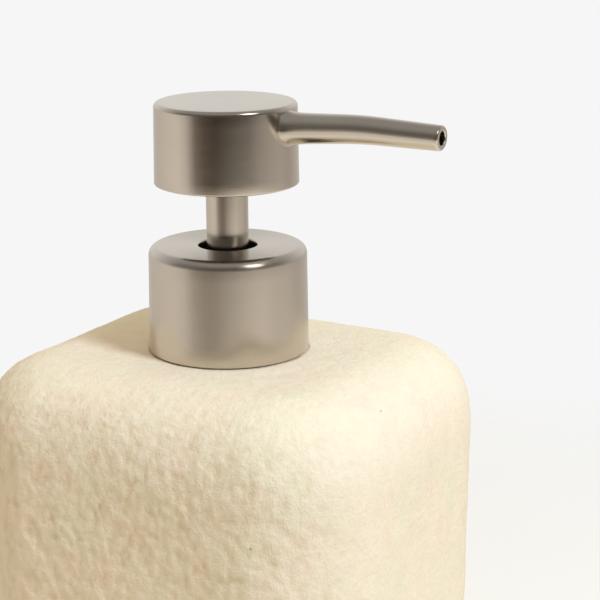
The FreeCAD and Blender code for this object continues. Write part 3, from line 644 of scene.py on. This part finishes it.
def spout_path():
    """The spout's axis: a straight rise, a long bend, a straight fall."""
    level = top_of("collar_shell").z + SPOUT_HEIGHT
    start = Vector((SPOUT_START, 0, level))
    outwards = Vector((math.cos(SPOUT_RISE), 0, math.sin(SPOUT_RISE)))
    falling = Vector((math.cos(SPOUT_DROOP), 0, -math.sin(SPOUT_DROOP)))
    corner = start + outwards * ((SPOUT_BEND_PLACE - start.x) / outwards.x)
    tip = corner + falling * ((top_of("spout_tube").x - corner.x) / falling.x)
    turn = SPOUT_RISE + SPOUT_DROOP
    tangent = SPOUT_BEND_RADIUS * math.tan(turn / 2)
    bend_in = corner - outwards * tangent
    down = Vector((math.sin(SPOUT_RISE), 0, -math.cos(SPOUT_RISE)))
    centre = bend_in + down * SPOUT_BEND_RADIUS
    path = [start.lerp(bend_in, step / RISE_STEPS) for step in range(RISE_STEPS)]
    for step in range(BEND_STEPS + 1):
        spin = Matrix.Rotation(turn * step / BEND_STEPS, 3, "Y")
        path.append(centre + spin @ (bend_in - centre))
    bend_out = path[-1]
    path += [bend_out.lerp(tip, step / FALL_STEPS) for step in range(1, FALL_STEPS + 1)]
    return path


def metal_spout():
    """A drawn tube with a rounded lip, open down its bore."""
    path = spout_path()
    sides = SPOUT_SIDES
    lengths = [0.0]
    aims = []
    for index, point in enumerate(path):
        before, after = path[max(index - 1, 0)], path[min(index + 1, len(path) - 1)]
        aims.append((after - before).normalized())
        if index:
            lengths.append(lengths[-1] + (point - path[index - 1]).length)
    total = lengths[-1]
    tip, tip_aim = path[-1], aims[-1]
    stations = list(zip(path, aims, lengths))

    head_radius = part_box("head_shell")[1].x

    def radius_at(length, which):
        return SPOUT_ROOT[which] + (SPOUT_TIP[which] - SPOUT_ROOT[which]) * length / total

    verts = []
    for point, aim, length in stations:
        if length < total - SPOUT_LIP:
            flare = SPOUT_FLARE * math.exp(-max(point.x - head_radius, 0.0) / FLARE_FADE)
            verts += ring_across(point, aim, radius_at(length, 0) + flare, sides)
    for step in range(LIP_STEPS + 1):
        turn = math.pi / 2 * step / LIP_STEPS
        back = SPOUT_LIP * (1 - math.sin(turn))
        radius = radius_at(total, 0) - SPOUT_LIP * (1 - math.cos(turn))
        verts += ring_across(tip - tip_aim * back, tip_aim, radius, sides)
    for step in range(BORE_LIP_STEPS + 1):
        turn = math.pi / 2 * step / BORE_LIP_STEPS
        back = BORE_LIP * (1 - math.cos(turn))
        radius = radius_at(total, 1) + BORE_LIP * (1 - math.sin(turn))
        verts += ring_across(tip - tip_aim * back, tip_aim, radius, sides)
    for point, aim, length in reversed(stations):
        if length < total - 2 * BORE_LIP:
            verts += ring_across(point, aim, radius_at(length, 1), sides)
    faces = ring_faces(len(verts) // sides, sides, closed=True)
    new_object("spout_metal", verts, faces, SPOUT_FINISH, "head", "spout_tube", sharp_angle=50)


# --- the spring --------------------------------------------------------------------------

SPRING_RADIUS = 4.6 * MM
WIRE_RADIUS = 0.4 * MM
SPRING_TURNS = 9
CLOSED_TURNS = 1.0
SEAT_GAP = 1.2 * WIRE_RADIUS  # from a seat to the middle of the wire on it
STEPS_PER_TURN = 48
WIRE_SIDES = 12


def return_spring():
    """A wound spring with closed ends."""
    low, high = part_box("main_spring")
    foot, crown = low.z + SEAT_GAP, high.z - SEAT_GAP
    sides = WIRE_SIDES
    steps = int(SPRING_TURNS * STEPS_PER_TURN)
    flat_rise = CLOSED_TURNS * 2 * WIRE_RADIUS
    path = []
    for step in range(steps + 1):
        turns = SPRING_TURNS * step / steps
        if turns < CLOSED_TURNS:
            height = foot + 2 * WIRE_RADIUS * turns
        elif turns > SPRING_TURNS - CLOSED_TURNS:
            height = crown - 2 * WIRE_RADIUS * (SPRING_TURNS - turns)
        else:
            share = (turns - CLOSED_TURNS) / (SPRING_TURNS - 2 * CLOSED_TURNS)
            height = foot + flat_rise + (crown - foot - 2 * flat_rise) * share
        angle = 2 * math.pi * turns
        path.append(Vector((SPRING_RADIUS * math.cos(angle), SPRING_RADIUS * math.sin(angle), height)))
    verts = []
    for index, point in enumerate(path):
        along = (path[min(index + 1, steps)] - path[max(index - 1, 0)]).normalized()
        outward = Vector((point.x, point.y, 0)).normalized()
        upward = along.cross(outward).normalized()
        for side in range(sides):
            turn = 2 * math.pi * side / sides
            verts.append(point + (outward * math.cos(turn) + upward * math.sin(turn)) * WIRE_RADIUS)
    faces = ring_faces(steps + 1, sides)
    faces.append(tuple(range(sides)))
    faces.append(tuple(range(steps * sides, (steps + 1) * sides)))
    spring = new_object("spring_wound", verts, faces, FINISHES["bright_steel"], "pump_unit", "main_spring")
    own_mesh(spring)


# --- floor, light and camera ---------------------------------------------------------------

BACKDROP = 0.922
CAMERA_SIDE = math.radians(31.4)  # the camera stands this far round from -Y towards +X
CAMERA_DISTANCE = 0.376
CAMERA_RISE = math.radians(13.326)
CAMERA_YAW = 0.040227
CAMERA_PITCH = 0.263581
CAMERA_ROLL = math.radians(-0.34)
LENS = 110.1
KEY_BEARING = math.radians(-14)  # from +X towards +Y
KEY_HEIGHT = math.radians(43)
KEY_TOWARDS = (
    math.cos(KEY_BEARING) * math.cos(KEY_HEIGHT),
    math.sin(KEY_BEARING) * math.cos(KEY_HEIGHT),
    math.sin(KEY_HEIGHT),
)
KEY_DISTANCE = 1.0
KEY_WIDTH = 0.22
KEY_COLOUR = (1.0, 1.18, 1.42)
KEY_LEVEL = 0.59
FLOOR_REACH = 0.34
FLOOR_FADE = 0.14
FLOOR_SPARE = 1.05
FLOOR_GAP = 0.05 * MM


def light_path_any(nodes, *outputs):
    """1 for a ray of any of these kinds."""
    path = nodes.add("ShaderNodeLightPath")
    total = path.outputs[outputs[0]]
    for name in outputs[1:]:
        total = nodes.math("MAXIMUM", total, path.outputs[name])
    return total


def studio_world():
    """Pale to the camera. Round the object it is a bright studio with its dark side in front."""
    world = bpy.data.worlds.new("studio")
    bpy.context.scene.world = world
    world.use_nodes = True
    nodes = Nodes(world.node_tree)
    direction = nodes.add("ShaderNodeTexCoord").outputs["Generated"]
    turned = nodes.add("ShaderNodeVectorRotate", {
        "Vector": direction, "Axis": (0, 0, 1), "Angle": -CAMERA_SIDE,
    }, rotation_type="AXIS_ANGLE")
    parts = nodes.add("ShaderNodeSeparateXYZ", {"Vector": turned.outputs["Vector"]})
    towards_front = nodes.math("MULTIPLY", parts.outputs["Y"], -1.0)
    bearing = nodes.math("ARCTAN2", parts.outputs["X"], towards_front)
    share = nodes.remap(bearing, -math.pi, math.pi, 0, 1)

    def round_the_horizon(stops):
        return nodes.ramp(share, [
            ((degrees + 180) / 360, tuple(level * part for part in tint))
            for degrees, level, tint in stops
        ])

    def band(low_high, below, above):
        return nodes.remap(rise, *low_high, below, above)

    rise = parts.outputs["Z"]
    around = round_the_horizon(AT_HORIZON)
    shown = nodes.mix(band(HORIZON_BAND, 0, 1), around, round_the_horizon(ABOVE_HORIZON))
    shown = nodes.mix(band(TABLE_EDGE_BAND, 1, 0), shown, round_the_horizon(TABLE_EDGE))
    shown = nodes.mix(band(GROUND_BAND, 1, 0), shown, GROUND_SHOWN)
    shown = nodes.mix(band(OVERHEAD_BAND, 0, 1), shown, OVERHEAD_SHOWN)
    patch = nodes.add("ShaderNodeVectorMath", {"Vector": direction}, operation="DOT_PRODUCT")
    patch.inputs[1].default_value = KEY_TOWARDS
    glow = nodes.remap(patch.outputs["Value"], math.cos(GLOW_REACH), 1.0, 0, 1)
    shown = nodes.mix(glow, shown, (GLOW, GLOW, GLOW))
    soft = nodes.mix(band(SOFT_BAND, 0, 1), nodes.mix(EVENNESS, around, AMBIENT), OVERHEAD_SOFT)
    glossy = light_path_any(nodes, "Is Glossy Ray")
    seen = light_path_any(nodes, "Is Camera Ray", "Is Transmission Ray")
    level = nodes.mix(glossy, soft, shown)
    colour = nodes.mix(seen, level, (BACKDROP, BACKDROP, BACKDROP))
    background = nodes.add("ShaderNodeBackground", {"Color": colour, "Strength": 1.0})
    nodes.add("ShaderNodeOutputWorld", {"Surface": background.outputs[0]})


# how high a direction points, as its Z, where one part of the studio gives way to the next
GROUND_BAND = (-0.42, -0.31)
TABLE_EDGE_BAND = (-0.240, -0.218)
HORIZON_BAND = (-0.08, 0.06)
OVERHEAD_BAND = (0.4, 0.85)
SOFT_BAND = (0.0, 0.8)
EVENNESS = 0.65  # how much of the soft light is the same all round

WARM = (1.0, 0.93, 0.84)
DUSKY = (1.0, 0.84, 0.70)
REDDISH = (1.0, 0.74, 0.58)
PALE = (1.0, 0.985, 0.96)

# (bearing from the camera's side, positive to the right; brightness; tint) a little below the horizon
AT_HORIZON = [
    (-180, 0.60, PALE), (-140, 0.66, WARM), (-110, 0.78, WARM), (-82, 0.84, WARM), (-66, 0.66, WARM),
    (-50, 0.17, DUSKY), (-36, 0.08, REDDISH), (-18, 0.02, REDDISH), (0, 0.03, DUSKY),
    (18, 0.065, DUSKY), (36, 0.12, WARM), (52, 0.27, WARM), (70, 0.41, WARM),
    (92, 0.50, WARM), (116, 0.46, WARM), (140, 0.56, WARM), (180, 0.60, PALE),
]
# where the table ends, lower down
TABLE_EDGE = [
    (-180, 0.60, PALE), (-140, 0.66, WARM), (-110, 0.74, WARM), (-80, 0.84, WARM), (-66, 0.90, WARM),
    (-50, 0.74, WARM), (-33, 0.54, DUSKY), (-18, 0.62, DUSKY), (0, 1.0, WARM),
    (18, 1.34, WARM), (36, 1.54, WARM), (52, 1.44, WARM), (70, 1.05, WARM),
    (92, 0.80, WARM), (116, 0.60, WARM), (140, 0.60, WARM), (180, 0.60, PALE),
]
ABOVE_HORIZON = [
    (-180, 0.80, PALE), (-140, 0.78, PALE), (-105, 0.50, PALE), (-80, 0.20, WARM),
    (-40, 0.12, WARM), (0, 0.09, WARM), (40, 0.12, WARM), (80, 0.22, WARM),
    (110, 0.50, PALE), (140, 0.76, PALE), (180, 0.80, PALE),
]
GROUND_SHOWN = (0.80, 0.73, 0.62)
OVERHEAD_SHOWN = (0.33, 0.325, 0.315)
OVERHEAD_SOFT = (0.74, 0.665, 0.55)
AMBIENT = (0.54, 0.48, 0.385)
GLOW = 5.0
GLOW_REACH = math.radians(14)

FLOOR_BOUNCE = (0.84, 0.75, 0.61)
FLOOR_PALE = (0.92, 0.915, 0.885)
FLOOR_PALER = (0.935, 0.93, 0.90)


def floor():
    """A pale table top that fades into the backdrop."""
    material, nodes = new_material("floor_paint")
    place = nodes.add("ShaderNodeNewGeometry").outputs["Position"]
    distance = nodes.add("ShaderNodeVectorMath", {"Vector": place}, operation="LENGTH").outputs["Value"]
    mottle = nodes.noise(place, 30, 3)
    pale = nodes.mix(mottle, FLOOR_PALE, FLOOR_PALER)
    shown = light_path_any(nodes, "Is Camera Ray", "Is Glossy Ray", "Is Transmission Ray")
    tone = nodes.mix(shown, FLOOR_BOUNCE, pale)
    paint = nodes.add("ShaderNodeBsdfPrincipled", {
        "Base Color": tone, "Roughness": 0.9, "Specular IOR Level": 0.1,
    })
    clear = nodes.add("ShaderNodeBsdfTransparent")
    fade = nodes.remap(distance, FLOOR_FADE, FLOOR_REACH, 0, 1)
    shader = nodes.add("ShaderNodeMixShader", {"Fac": fade})
    nodes.tree.links.new(paint.outputs[0], shader.inputs[1])
    nodes.tree.links.new(clear.outputs[0], shader.inputs[2])
    finish_material(nodes, shader)
    mesh = bpy.data.meshes.new("floor")
    work = bmesh.new()
    bmesh.ops.create_circle(work, cap_ends=True, segments=96, radius=FLOOR_REACH * FLOOR_SPARE)
    work.to_mesh(mesh)
    work.free()
    table = bpy.data.objects.new("floor", mesh)
    bpy.context.collection.objects.link(table)
    mesh.materials.append(material)
    table.location.z = cad_box[0].z - FLOOR_GAP


def key_light():
    """A softbox to the right of the camera and above. At level 1 it alone would show a colour as written."""
    aim = Vector((0, 0, top_of("body_shell").z))
    towards = Vector(KEY_TOWARDS)
    lamp = bpy.data.lights.new("key", "AREA")
    lamp.shape = "SQUARE"
    lamp.size = KEY_WIDTH
    lamp.energy = KEY_LEVEL * (math.pi * KEY_DISTANCE) ** 2
    lamp.color = KEY_COLOUR
    holder = bpy.data.objects.new("key", lamp)
    bpy.context.collection.objects.link(holder)
    holder.visible_glossy = False
    holder.location = aim + towards * KEY_DISTANCE
    holder.rotation_mode = "QUATERNION"
    holder.rotation_quaternion = towards.to_track_quat("Z", "Y")


def camera():
    """Aimed by yaw, pitch and roll from a place given round the collar's top."""
    forward = Vector((
        math.sin(CAMERA_YAW) * math.cos(CAMERA_PITCH),
        math.cos(CAMERA_YAW) * math.cos(CAMERA_PITCH),
        -math.sin(CAMERA_PITCH),
    ))
    level_right = Vector((math.cos(CAMERA_YAW), -math.sin(CAMERA_YAW), 0))
    level_up = level_right.cross(forward)
    right = level_right * math.cos(CAMERA_ROLL) + level_up * math.sin(CAMERA_ROLL)
    upward = level_up * math.cos(CAMERA_ROLL) - level_right * math.sin(CAMERA_ROLL)
    aim = Matrix((right, upward, -forward)).transposed().to_4x4()
    back = Vector((0, -math.cos(CAMERA_RISE), math.sin(CAMERA_RISE))) * CAMERA_DISTANCE
    turn = Matrix.Rotation(CAMERA_SIDE, 4, "Z")
    collar_top = Vector((0, 0, top_of("collar_shell").z))
    lens = bpy.data.cameras.new("camera")
    lens.lens = LENS
    lens.sensor_width = 36
    lens.clip_start = 0.01
    holder = bpy.data.objects.new("camera", lens)
    bpy.context.collection.objects.link(holder)
    holder.matrix_world = Matrix.Translation(collar_top) @ turn @ Matrix.Translation(back) @ aim
    bpy.context.scene.camera = holder


# --- all together ------------------------------------------------------------------------

finish_cad_nodes()
container()
metal_collar()
metal_head()
metal_sleeve()
metal_spout()
return_spring()
studio_world()
floor()
key_light()
camera()
bpy.context.scene.view_settings.view_transform = "Standard"
